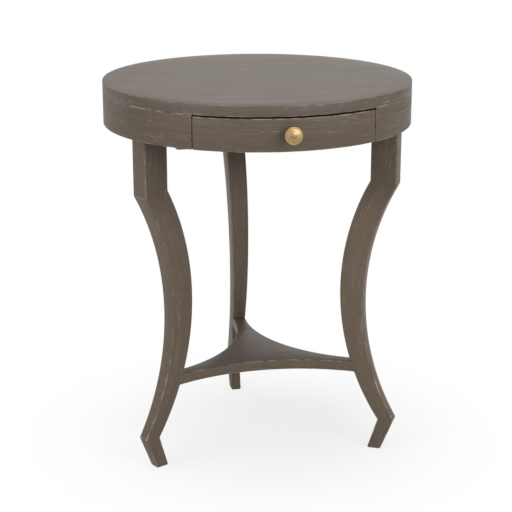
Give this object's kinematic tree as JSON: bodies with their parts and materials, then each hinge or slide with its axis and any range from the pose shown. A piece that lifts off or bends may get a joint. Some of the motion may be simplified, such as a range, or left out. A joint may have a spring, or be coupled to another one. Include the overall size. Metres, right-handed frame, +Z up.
{
  "type": "side table",
  "caption": "Round side table: a shallow drum with a curved drawer and a small knob, on swept legs that are tied by a lower shelf with hollow sides.",
  "frame": {"origin": "on the floor under the middle of the whole table, halfway between the knob's tip and the back of the drum, 13.25 mm in front of the drum's axis", "axes": "+Z up, the drawer opens towards -Y, +X to the right of a person who faces the drawer"},
  "size_m": [0.56, 0.5864, 0.7],
  "materials": {
    "taupe_wood": "wire-brushed, painted taupe grey, satin",
    "box_wood": "clear satin",
    "block_wood": "planed, unfinished",
    "black_wood": "painted black, matte",
    "dowel_wood": "unfinished",
    "brass": "satin, lightly aged",
    "steel": "zinc plated"
  },
  "bodies": {
    "table": {"top_panel": "taupe_wood", "apron_ring": "taupe_wood", "lower_shelf": "taupe_wood", "front_rail": "block_wood", "rear_rail": "block_wood", "leg_front_left": "taupe_wood", "leg_front_right": "taupe_wood", "leg_back": "taupe_wood", "leg_block_front_left": "block_wood", "leg_block_front_right": "block_wood", "leg_block_back": "block_wood", "apron_cleat_left": "block_wood", "apron_cleat_right": "block_wood", "apron_cleat_back_left": "block_wood", "apron_cleat_back_right": "block_wood", "drawer_runner_left": "black_wood", "drawer_runner_right": "black_wood", "drawer_kicker_left": "block_wood", "drawer_kicker_right": "block_wood", "drawer_stop_left": "block_wood", "drawer_stop_right": "block_wood", "opening_block_left": "block_wood", "opening_block_right": "block_wood", "leg_bolts": "steel", "leg_block_screws": "steel", "cleat_slab_screws": "steel", "cleat_apron_screws": "steel", "rear_rail_screws": "steel", "front_rail_screws": "steel", "kicker_screws": "steel", "runner_rear_screws": "steel", "runner_front_screws": "steel", "shelf_dowels": "dowel_wood"},
    "drawer": {"drawer_front": "taupe_wood", "drawer_side_left": "box_wood", "drawer_side_right": "box_wood", "drawer_back": "box_wood", "drawer_bottom": "box_wood", "knob": "brass", "knob_screw": "steel", "drawer_dowels": "dowel_wood", "drawer_back_screws": "steel", "drawer_bottom_pins": "steel"}
  },
  "joints": [
    {"name": "drawer_slide", "type": "slide", "parent": "table", "child": "drawer", "axis": [0, -1, 0], "range_m": [0, 0.18]}
  ]
}
